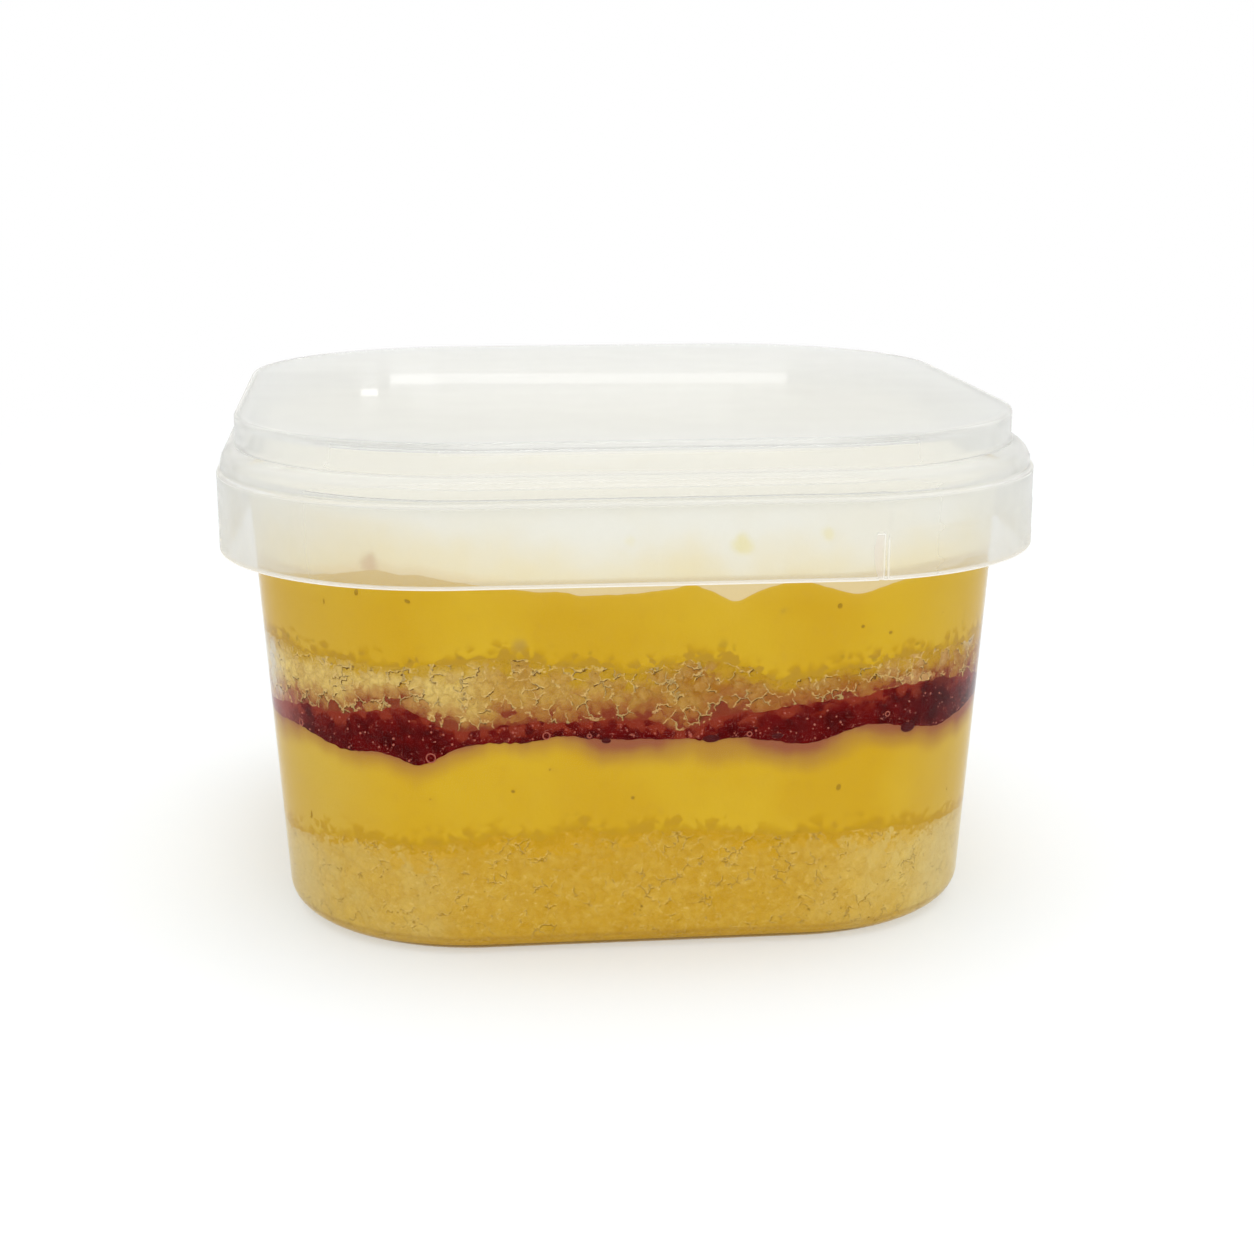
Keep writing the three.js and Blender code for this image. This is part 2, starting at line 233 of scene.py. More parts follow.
class Paint:
    """A node material, built from the inside out. Places are in millimetres."""

    def __init__(self, name):
        self.material = bpy.data.materials.new(name)
        self.material.use_nodes = True
        self.tree = self.material.node_tree
        self.tree.nodes.clear()
        place = self.tree.nodes.new("ShaderNodeTexCoord")
        self.mm = self.vector("SCALE", place.outputs["Object"], Scale=1 / MM)
        split = self.tree.nodes.new("ShaderNodeSeparateXYZ")
        self.tree.links.new(self.mm, split.inputs[0])
        self.x, self.y, self.z = split.outputs

    def put(self, socket, value):
        if isinstance(value, bpy.types.NodeSocket):
            self.tree.links.new(value, socket)
        elif isinstance(value, tuple) and len(value) == 3 and socket.type == "RGBA":
            socket.default_value = (*value, 1)
        else:
            socket.default_value = value

    def node(self, kind, inputs, output=0, **settings):
        made = self.tree.nodes.new("ShaderNode" + kind)
        for key, value in settings.items():
            setattr(made, key, value)
        for key, value in inputs.items():
            self.put(made.inputs[key], value)
        return made.outputs[output]

    def vector(self, operation, a, b=None, **more):
        inputs = {0: a, **more}
        if b is not None:
            inputs[1] = b
        return self.node("VectorMath", inputs, output=1 if operation == "LENGTH" else 0, operation=operation)

    def math(self, operation, a, b=0.0):
        return self.node("Math", {0: a, 1: b}, operation=operation)

    def add(self, a, b):
        return self.math("ADD", a, b)

    def times(self, a, b):
        return self.math("MULTIPLY", a, b)

    def most(self, a, b):
        return self.math("MAXIMUM", a, b)

    def span(self, value, low, high, to_low=0.0, to_high=1.0):
        inputs = {"Value": value, "From Min": low, "From Max": high, "To Min": to_low, "To Max": to_high}
        return self.node("MapRange", inputs, interpolation_type="SMOOTHSTEP")

    def noise(self, scale, detail=3.0, rough=0.5, at=None, output=0):
        inputs = {"Vector": at or self.mm, "Scale": scale, "Detail": detail, "Roughness": rough}
        return self.node("TexNoise", inputs, output=output)

    def cells(self, scale, feature="F1", at=None, output=0):
        inputs = {"Vector": at or self.mm, "Scale": scale}
        return self.node("TexVoronoi", inputs, output=output, feature=feature)

    def warped(self, amount, scale, at=None):
        drift = self.vector("SUBTRACT", self.noise(scale, 2.0, output=1), (0.5, 0.5, 0.5))
        return self.vector("ADD", at or self.mm, self.vector("SCALE", drift, Scale=amount))

    def mix(self, share, a, b):
        return self.node("Mix", {0: share, 6: a, 7: b}, output=2, data_type="RGBA")

    # 1 within about `inner` of a place, down to 0 at `outer`, with an uneven outline.
    def near(self, place, outer, inner, drift=1.0, scale=0.8):
        away = self.vector("SUBTRACT", self.warped(drift, scale), place)
        return self.span(self.vector("LENGTH", away), outer, inner)

    def attribute(self, name):
        return self.node("Attribute", {}, output=2, attribute_name=name)

    def bump(self, height, distance):
        return self.node("Bump", {"Height": height, "Distance": distance * MM, "Strength": 1.0})

    def principled(self, colour, roughness, specular, normal=None, **more):
        inputs = {"Base Color": colour, "Roughness": roughness, "Specular IOR Level": specular}
        if normal is not None:
            inputs["Normal"] = normal
        inputs.update({key.replace("_", " "): value for key, value in more.items()})
        return self.node("BsdfPrincipled", inputs)

    # Lamps and soft bounced light pass straight through this surface.
    def lit_through(self, surface, tint):
        shadow = self.node("LightPath", {}, output="Is Shadow Ray")
        diffuse = self.node("LightPath", {}, output="Is Diffuse Ray")
        passed = self.node("BsdfTransparent", {"Color": tint})
        return self.blend(self.most(shadow, diffuse), surface, passed)

    def blend(self, share, a, b):
        return self.node("MixShader", {0: share, 1: a, 2: b})

    def done(self, surface):
        out = self.tree.nodes.new("ShaderNodeOutputMaterial")
        self.tree.links.new(surface, out.inputs["Surface"])
        return self.material


def dots(paint, scale, size, share, at=None):
    """Sparse round dots: 1 inside a dot. Only a share of the cells hold one."""
    distance = paint.cells(scale, at=at)
    pick = paint.node("SeparateColor", {0: paint.cells(scale, at=at, output=1)})
    inside = paint.span(distance, size, size * 0.45)
    return paint.times(inside, paint.math("LESS_THAN", pick, share))


class Crumb:
    """A sponge crumb: soft tones lump by lump, painted shade in its hollows and pores, and short curved
    strokes: a dark crack of painted shade, with a pale stroke of painted highlight a little above it.
    """

    def __init__(self, paint, lump, share):
        self.paint, self.share = paint, share
        at = paint.warped(0.6, 2.4, paint.warped(1.2, 0.9))
        # The pale strokes sit a little above the dark ones, on the side that light from above would catch:
        # painted highlight.
        lit_side = paint.vector("ADD", at, (0.05, 0.0, -0.13))
        self.tone = paint.node("SeparateColor", {0: paint.cells(1 / lump, at=at, output=1)})
        self.small = paint.node("SeparateColor", {0: paint.cells(2.4 / lump, at=at, output=1)})
        edge = paint.cells(1 / lump, "DISTANCE_TO_EDGE", at=at)
        fine_edge = paint.cells(2.2 / lump, "DISTANCE_TO_EDGE", at=at)
        lit_side_edge = paint.cells(1 / lump, "DISTANCE_TO_EDGE", at=lit_side)
        here = paint.noise(0.55, 3.0, 0.55, paint.vector("ADD", paint.mm, (31, 7, 0)))
        # Dark strokes: cracks, darkened with painted shade. Pale strokes: painted highlight on the rims
        # beside them.
        self.shaded_crack = self.stroke(edge, 0.055, here)
        self.pale = self.stroke(lit_side_edge, 0.07, here, 0.05)
        # Pores: sunk into the bump, and darkened with painted shade.
        self.shaded_pore = paint.span(paint.noise(1.5 / lump, 3.0, 0.6), 0.69, 0.74)
        self.grain = paint.noise(0.9, 4.0, 0.6)
        # Painted shade: darker towards the cell edges, in the hollows between lumps, at two sizes.
        fine_hollow_shade = paint.span(fine_edge, 0.2, 0.0, 0.0, 0.3)
        self.hollow = paint.add(paint.span(edge, 0.22, 0.0, 0.0, 0.7), fine_hollow_shade)
        domes = paint.add(paint.span(edge, 0.0, 0.4), paint.span(fine_edge, 0.0, 0.3, 0.0, 0.3))
        self.height = paint.math("SUBTRACT", domes, paint.most(self.shaded_pore, paint.times(self.shaded_crack, 0.5)))

    def stroke(self, distance, width, where, shift=0.0):
        chosen = self.paint.span(where, 0.6 - self.share - shift, 0.66 - self.share - shift)
        return self.paint.times(self.paint.span(distance, width, width * 0.25), chosen)


# A distance whose edge is broken up crumb by crumb.
def broken(p, distance, tone, crumb_size, blur_size, scale=0.6):
    out = p.add(distance, p.times(p.math("SUBTRACT", tone, 0.5), crumb_size))
    return p.add(out, p.times(p.math("SUBTRACT", p.noise(scale, 3.0, 0.6), 0.5), blur_size))


def base_sponge_material():
    p = Paint("base_sponge")
    up, down = p.attribute("up"), p.attribute("down")
    c = Crumb(p, 1.35, 0.05)
    sway = p.add(p.x, p.times(p.math("SUBTRACT", p.noise(0.12, 3.0), 0.5), 30))
    colour = p.mix(p.span(sway, -14, -32), srgb(203, 158, 42), srgb(206, 174, 92))
    colour = p.mix(p.span(sway, 10, 34), colour, srgb(220, 194, 116))
    colour = p.mix(p.span(p.noise(0.35, 3.0, 0.6), 0.45, 0.7, 0.0, 0.4), colour, srgb(214, 174, 70))
    colour = p.mix(p.times(c.tone, 0.3), colour, srgb(194, 146, 34))
    # Painted shade in the hollows between lumps.
    colour = p.mix(p.times(c.hollow, 0.18), colour, srgb(170, 120, 20))
    colour = p.mix(p.times(c.small, 0.16), colour, srgb(230, 194, 92))
    colour = p.mix(p.span(c.grain, 0.45, 0.7, 0.0, 0.25), colour, srgb(228, 192, 94))
    soaked = p.span(broken(p, down, c.tone, 3.2, 8.0, 0.25), 2.2, 0.8, 0.0, 0.6)
    soaked = p.times(soaked, p.span(p.math("ABSOLUTE", p.x), 22.0, 36.0, 1.0, 0.3))
    colour = p.mix(soaked, colour, srgb(206, 156, 20))
    flecks = p.noise(1.7, 4.0, 0.65, p.warped(0.5, 3.0))
    colour = p.mix(p.span(flecks, 0.44, 0.3, 0.0, 0.3), colour, srgb(178, 132, 36))
    colour = p.mix(p.span(flecks, 0.58, 0.72, 0.0, 0.3), colour, srgb(240, 212, 130))
    # Painted shade in the pores.
    colour = p.mix(p.times(c.shaded_pore, 0.7), colour, srgb(146, 104, 22))
    crumbly = p.span(broken(p, down, c.small, 1.5, 1.8), 0.8, 0.55, 0.0, 0.8)
    colour = p.mix(crumbly, colour, srgb(196, 150, 26))
    # Painted shade in the cracks, and painted highlight just above them.
    colour = p.mix(p.times(c.shaded_crack, 0.6), colour, srgb(140, 98, 22))
    colour = p.mix(p.times(c.pale, 0.2), colour, srgb(244, 216, 132))
    left_end = p.near((-39.0, -22.0, 6.5), 13.0, 5.0, 3.0, 0.4)
    ends = p.most(left_end, p.near((37.0, -30.0, 6.5), 11.0, 4.0, 3.0, 0.4))
    colour = p.mix(p.times(ends, 0.55), colour, srgb(212, 190, 132))
    golden = p.span(p.add(up, p.times(p.noise(0.7), 1.4)), 1.9, 0.6, 0.0, 0.5)
    colour = p.mix(golden, colour, srgb(208, 158, 34))
    line = p.times(p.span(up, 1.5, 1.05), p.span(up, 0.6, 1.05))
    colour = p.mix(p.times(line, 0.3), colour, srgb(170, 122, 50))
    rough = p.span(c.grain, 0.3, 0.7, 0.62, 0.9)
    return p.done(p.principled(colour, rough, 0.02, p.bump(c.height, 0.08)))


def middle_sponge_material():
    p = Paint("middle_sponge")
    up, down = p.attribute("up"), p.attribute("down")
    c = Crumb(p, 1.5, 0.08)
    sway = p.add(p.x, p.times(p.math("SUBTRACT", p.noise(0.1, 3.0), 0.5), 26))
    colour = p.mix(p.span(sway, -24, -10), srgb(238, 208, 120), srgb(200, 154, 64))
    colour = p.mix(p.span(sway, -10, 8), colour, srgb(168, 106, 27))
    colour = p.mix(p.times(c.tone, 0.4), colour, srgb(166, 112, 36))
    colour = p.mix(p.times(c.small, 0.2), colour, srgb(238, 206, 126))
    # Painted shade in the hollows between lumps.
    colour = p.mix(p.times(c.hollow, 0.36), colour, srgb(132, 82, 26))
    colour = p.mix(p.span(c.grain, 0.45, 0.7, 0.0, 0.2), colour, srgb(232, 200, 120))
    soak = p.times(broken(p, up, c.tone, 2.0, 3.4), p.span(p.x, 12, 30, 1.0, 1.45))
    colour = p.mix(p.span(soak, 3.4, 0.9, 0.0, 0.75), colour, srgb(160, 92, 46))
    deep = p.times(soak, p.span(p.x, 12, 26, 1.0, 1.5))
    colour = p.mix(p.span(deep, 1.3, 0.0, 0.0, 0.9), colour, srgb(132, 48, 32))
    creamy = p.span(broken(p, down, c.tone, 2.0, 2.4), 1.9, 0.3, 0.0, 0.85)
    colour = p.mix(creamy, colour, srgb(194, 150, 30))
    pink = p.times(p.near((-39.0, -24.0, 25.5), 8.0, 3.0, 2.4, 0.6), p.span(up, 3.0, 0.5))
    colour = p.mix(p.times(pink, 0.6), colour, srgb(180, 118, 98))
    patchy = p.add(p.times(c.tone, 0.6), p.times(c.small, 0.4))
    beige = p.times(p.near((30.0, -36.8, 30.8), 7.0, 2.0, 3.0, 0.8), p.span(patchy, 0.2, 0.8, 0.05, 0.65))
    colour = p.mix(beige, colour, srgb(208, 166, 108))
    # Pale patches at the sides where an air gap lies behind the wall: painted sheen of the light the wall
    # shows there, kept crumbly.
    right_gap_sheen = p.times(p.near((36.8, -30.4, 32.2), 2.8, 1.0, 2.0, 0.8), 0.6)
    gap = p.most(p.near((-40.0, -22.5, 29.0), 6.0, 1.5, 3.0, 0.8), right_gap_sheen)
    colour = p.mix(p.times(gap, p.span(patchy, 0.2, 0.8, 0.4, 0.85)), colour, srgb(216, 206, 188))
    # Painted shade in the pores.
    colour = p.mix(p.times(c.shaded_pore, 0.5), colour, srgb(120, 76, 22))
    # Painted shade in the cracks, and painted highlight just above them.
    colour = p.mix(p.times(c.shaded_crack, 0.9), colour, srgb(96, 56, 16))
    colour = p.mix(p.times(c.pale, 0.5), colour, srgb(240, 208, 134))
    rough = p.span(c.grain, 0.3, 0.7, 0.5, 0.85)
    return p.done(p.principled(colour, rough, 0.02, p.bump(c.height, 0.16)))


# Smooth curd. Jam may stain it from above; where the cream lies on it behind the skirt, the edge blurs.
def curd_material(name, stained, hung):
    p = Paint(name)
    up, down = p.attribute("up"), p.attribute("down")
    at = p.warped(1.1, 0.8)
    crumbs = p.node("SeparateColor", {0: p.cells(1.0, at=at, output=1)})
    tone = p.noise(0.07, 2.0)
    mottle = p.noise(0.9, 4.0, 0.65)
    colour = p.mix(p.span(tone, 0.35, 0.65), srgb(207, 163, 32), srgb(213, 173, 40))
    colour = p.mix(p.span(mottle, 0.5, 0.75, 0.0, 0.35), colour, srgb(196, 152, 36))
    pale = 0.6 if stained else 0.35
    colour = p.mix(p.span(p.math("ABSOLUTE", p.x), 24, 38, 0.0, pale), colour, srgb(204, 172, 82))
    fringe = broken(p, up, crumbs, 2.0, 2.2)
    colour = p.mix(p.span(fringe, 1.5, 0.6, 0.0, 0.7), colour, srgb(192, 148, 24))
    colour = p.mix(p.span(fringe, 0.75, 0.1, 0.0, hung), colour, srgb(182, 140, 42))
    olive = p.times(p.span(up, 3.6, 0.4), dots(p, 0.8, 0.3, 0.2, p.warped(1.2, 0.8)))
    colour = p.mix(p.times(olive, 0.7 * hung), colour, srgb(156, 122, 38))
    vague = dots(p, 0.3, 0.14, 0.3, p.warped(1.0, 0.6))
    colour = p.mix(p.times(vague, 0.35), colour, srgb(160, 126, 46))
    if stained:
        bleed = p.add(down, p.times(p.math("SUBTRACT", p.noise(0.12, 2.0), 0.5), 4.5))
        bleed = p.add(bleed, p.span(p.x, -4.0, -20.0, 0.0, 0.7))
        colour = p.mix(p.span(bleed, 3.6, 0.4, 0.0, 0.85), colour, srgb(168, 118, 58))
        colour = p.mix(p.span(bleed, 1.2, -0.35, 0.0, 0.9), colour, srgb(150, 84, 62))
    else:
        colour = p.mix(p.times(p.near((-13.5, -40.9, 34.6), 1.3, 0.4, 0.6), 0.6), colour, srgb(172, 138, 72))
        blur = p.span(p.z, BLUR_LOW, BLUR_HIGH, 0.6, 1.1)
        veil = p.span(p.node("Math", {0: down, 1: blur}, operation="DIVIDE"), 1.0, 0.0)
        colour = p.mix(p.times(veil, 0.2), colour, srgb(226, 194, 106))
        colour = p.mix(p.times(p.span(down, 2.6, 0.6), 0.25), colour, srgb(218, 178, 56))
    normal = p.bump(mottle, 0.04)
    return p.done(p.principled(colour, p.span(mottle, 0.3, 0.7, 0.35, 0.5), 0.02, normal))


def jam_material():
    p = Paint("berry_jam")
    up, down = p.attribute("up"), p.attribute("down")
    crumbs = p.node("SeparateColor", {0: p.cells(0.9, at=p.warped(1.1, 0.8), output=1)})
    lumps = p.noise(0.5, 4.0, 0.6)
    fine = p.noise(2.0, 3.0, 0.6)
    colour = p.mix(p.span(lumps, 0.35, 0.65), srgb(68, 0, 0), srgb(94, 3, 3))
    rise = broken(p, down, crumbs, 1.8, 3.0)
    colour = p.mix(p.span(rise, 2.2, 0.5, 0.0, 0.6), colour, srgb(114, 18, 9))
    colour = p.mix(p.span(rise, 1.0, 0.1, 0.0, 0.85), colour, srgb(140, 50, 30))
    colour = p.mix(p.span(fine, 0.52, 0.75, 0.0, 0.25), colour, srgb(138, 36, 28))
    colour = p.mix(p.times(p.near((-39.5, -23.5, 24.0), 8.0, 2.5, 3.0, 0.7), 0.7), colour, srgb(152, 78, 70))
    # A purple-grey tint at the right end: painted haze, the light that the wall scatters in front of the jam
    # there.
    colour = p.mix(p.times(p.near((36.0, -32.0, 28.5), 5.0, 2.0, 2.4, 0.6), 0.2), colour, srgb(114, 36, 40))
    deep = p.near((32.5, -35.2, 26.6), 5.0, 1.5, 2.0, 0.8)
    colour = p.mix(p.times(deep, 0.55), colour, srgb(52, 0, 3))
    # Pale rings of tiny air bubbles against the wall: the bubbles are real, their pale outlines painted
    # glints.
    at = p.warped(0.3, 2.0)
    distance = p.cells(1.9, at=at)
    pick = p.node("SeparateColor", {0: p.cells(1.9, at=at, output=1)})
    ring = p.times(p.span(distance, 0.26, 0.21), p.span(distance, 0.10, 0.17))
    ring = p.times(ring, p.math("GREATER_THAN", pick, 0.62))
    ring = p.times(ring, p.span(up, 3.2, 1.2, 0.35, 1.0))
    colour = p.mix(p.times(ring, 0.4), colour, srgb(170, 74, 60))
    glint = p.times(dots(p, 3.1, 0.2, 0.36), p.span(up, 3.2, 0.9, 0.6, 1.0))
    colour = p.mix(p.times(glint, 0.6), colour, srgb(214, 140, 124))
    height = p.add(p.times(lumps, 0.6), p.times(ring, 0.5))
    return p.done(p.principled(colour, p.span(fine, 0.3, 0.7, 0.25, 0.45), 0.02, p.bump(height, 0.15)))


def cream_material():
    p = Paint("cream")
    up = p.attribute("up")
    soft = p.noise(0.12, 3.0, 0.55)
    fine = p.noise(1.4, 4.0, 0.6)
    colour = p.mix(p.span(soft, 0.35, 0.65), srgb(252, 247, 229), srgb(254, 251, 238))
    warm = p.add(up, p.times(p.math("SUBTRACT", p.noise(0.16, 3.0, 0.6), 0.5), 6.0))
    colour = p.mix(p.span(warm, 7.0, 0.5, 0.0, 0.9), colour, srgb(252, 234, 178))
    # Painted shade: the top of the cream dims towards the wall, where the lid's rim and the tub's wall would
    # shade it.
    reach = p.most(p.math("ABSOLUTE", p.x), p.math("ABSOLUTE", p.y))
    rim_shading = p.times(p.span(reach, 4.0, 28.0), p.span(p.z, 48.0, 49.2))
    colour = p.mix(p.times(rim_shading, 0.8), colour, srgb(242, 238, 222))
    left = p.times(p.span(p.x, -20.0, -34.0), p.span(p.z, 49.4, 47.4))
    colour = p.mix(p.times(left, 0.35), colour, srgb(232, 214, 164))
    blur = p.span(p.z, BLUR_LOW, BLUR_HIGH, 0.35, 1.5)
    edge = p.span(p.node("Math", {0: up, 1: blur}, operation="DIVIDE"), 1.0, 0.0)
    colour = p.mix(p.times(edge, 0.8), colour, srgb(238, 208, 146))
    stain = dots(p, 0.17, 0.12, 0.25, p.warped(3.0, 0.3))
    stain = p.times(stain, p.math("GREATER_THAN", p.y, -20))
    for x, z, size, share in ((9.3, 45.0, 1.7, 1.0), (18.0, 45.9, 1.2, 0.7), (-2.2, 45.5, 1.0, 0.4)):
        away = p.vector("SUBTRACT", p.warped(1.0, 0.5), (x, -40.5, z))
        stain = p.most(stain, p.span(p.vector("LENGTH", away), size, size * 0.4, 0.0, share))
    colour = p.mix(p.times(stain, 0.65), colour, srgb(247, 228, 112))
    smudge = p.near((-28.9, -38.5, 43.2), 1.7, 0.7, 0.8, 0.9)
    colour = p.mix(p.times(smudge, 0.7), colour, srgb(206, 158, 100))
    colour = p.mix(p.times(p.span(p.z, 41.9, 41.3), 0.9), colour, srgb(224, 200, 148))
    height = p.add(soft, p.times(fine, 0.25))
    return p.done(p.principled(colour, 0.6, 0.02, p.bump(height, 0.25)))


def tub_material():
    p = Paint("clear_plastic")
    ripple = p.bump(p.noise(0.12, 2.0), 0.02)
    haze = p.node("BsdfDiffuse", {"Color": srgb(244, 244, 242)})
    clear = (0.99, 0.99, 0.985)
    glass = p.node("BsdfGlass", {"Color": clear, "Roughness": 0.0, "IOR": 1.14, "Normal": ripple})
    body = p.blend(p.span(p.noise(0.4, 3.0), 0.35, 0.7, 0.0, 0.003), glass, haze)
    return p.done(p.lit_through(body, clear))


def lid_material():
    p = Paint("frosted_plastic")
    edge, slot = p.attribute("edge"), p.attribute("slot")
    soft = p.noise(0.05, 2.0, 0.5)
    facing = p.node("LayerWeight", {"Blend": 0.5}, output=1)
    # Painted highlight along the slot's sloping sides, halfway into it.
    rim_shading = p.times(p.span(slot, 0.0, 0.5), p.span(slot, 1.0, 0.5))
    veil = p.span(facing, 0.1, 1.0, 0.2, 0.36)
    veil = p.add(veil, p.span(soft, 0.3, 0.7, -0.02, 0.02))
    turned = p.times(p.span(facing, 0.12, 0.4), p.span(facing, 0.72, 0.56))
    veil = p.add(veil, p.times(turned, 0.22))
    # Along the edges, steps and the skirt's foot the plastic turns more milky and near white: partly thicker
    # plastic seen edge-on, partly painted highlight.
    veil = p.most(veil, p.times(edge, 0.9))
    veil = p.most(veil, p.times(slot, 0.5))
    veil = p.most(veil, p.times(rim_shading, 0.65))
    white = p.mix(slot, srgb(232, 233, 231), srgb(238, 230, 227))
    # Near-white on the edges and on the slot's sides: painted highlight.
    white = p.mix(p.most(edge, rim_shading), white, srgb(254, 254, 253))
    spread = p.node("BsdfDiffuse", {"Color": white})
    glow = p.node("BsdfTranslucent", {"Color": white})
    milk = p.blend(0.5, spread, glow)
    glass = p.node("BsdfGlass", {"Color": (0.96, 0.96, 0.96), "Roughness": 0.08, "IOR": 1.2})
    clear = p.node("BsdfGlass", {"Color": (0.96, 0.96, 0.96), "Roughness": 0.0, "IOR": 1.2})
    both = p.blend(0.3, glass, clear)
    return p.done(p.lit_through(p.blend(veil, both, milk), (0.99, 0.99, 0.99)))


def plain_material(name, colour, roughness, specular):
    p = Paint(name)
    tint = p.mix(p.span(p.noise(2.5, 3.0), 0.3, 0.7, 0.0, 0.35), colour, tuple(c * 0.6 for c in colour))
    return p.done(p.principled(tint, roughness, specular, p.bump(p.noise(4.0, 2.0), 0.05)))


def even_density(angle):
    return 1 + 0.25 * np.cos(4 * (angle - math.pi / 4))


def tub_piece():
    angles = spread_angles(TUB_SEGMENTS, even_density)
    rim_foot = RIM_TOP - RIM_DROP
    fillet = wall_half(BASE_FILLET)
    profile = [(BASE_RING, 0.0), (30.0, 0.0)]
    profile += arc(fillet - BASE_FILLET, BASE_FILLET, BASE_FILLET, -90, 0, 12)
    profile += [(wall_half(z), z) for z in (6, 12, 18, 24, 30, 36, 42, 47)]
    profile += arc(wall_half(50.0) + 0.4, 50.0, 0.4, 180, 90, 4)
    profile += [(RIM_HALF - RIM_LIP - 0.2, RIM_TOP - RIM_THICK)]
    profile += arc(RIM_HALF - RIM_LIP / 2, rim_foot + RIM_LIP / 2, RIM_LIP / 2, 180, 360, 6)
    profile += arc(RIM_HALF - 0.45, RIM_TOP - 0.45, 0.45, 0, 90, 5)
    profile += arc(wall_half(RIM_TOP) - WALL + 0.4, RIM_TOP - 0.4, 0.4, 90, 180, 5)
    profile += [(wall_half(z) - WALL, z) for z in (47, 42, 36, 30, 24, 18, 12, 6)]
    profile += arc(fillet - BASE_FILLET, BASE_FILLET, BASE_FILLET - WALL, 0, -90, 10)
    profile += [(30.0, WALL), (BASE_RING, WALL)]
    rings = []
    for half, z in profile:
        reach = half * square_reach(angles, tub_share(z))
        rings.append(np.stack([reach * np.cos(angles), reach * np.sin(angles), np.full_like(angles, z)], -1))
    return skin("tub_body", np.array(rings), (0, 0, 0), (0, 0, WALL))


# Share of the tear slot's depth at a place on the front of the skirt: a narrow leaf, bowed on its left.
def slot_mask(x, z):
    up = np.clip((z - SKIRT_BOTTOM) / SLOT_HEIGHT, 0, 1)
    left = SLOT_LEFT - SLOT_BOW * np.sin(up * math.pi * 0.8) ** 1.2
    right = SLOT_RIGHT + 0.05 * up
    inside = smoothstep(x, left - SLOT_BLUR, left + SLOT_BLUR)
    inside = inside * (1 - smoothstep(x, right - SLOT_BLUR, right + SLOT_BLUR))
    return inside * (1 - smoothstep(z, SKIRT_BOTTOM + SLOT_HEIGHT, SKIRT_BOTTOM + SLOT_HEIGHT + 0.4))


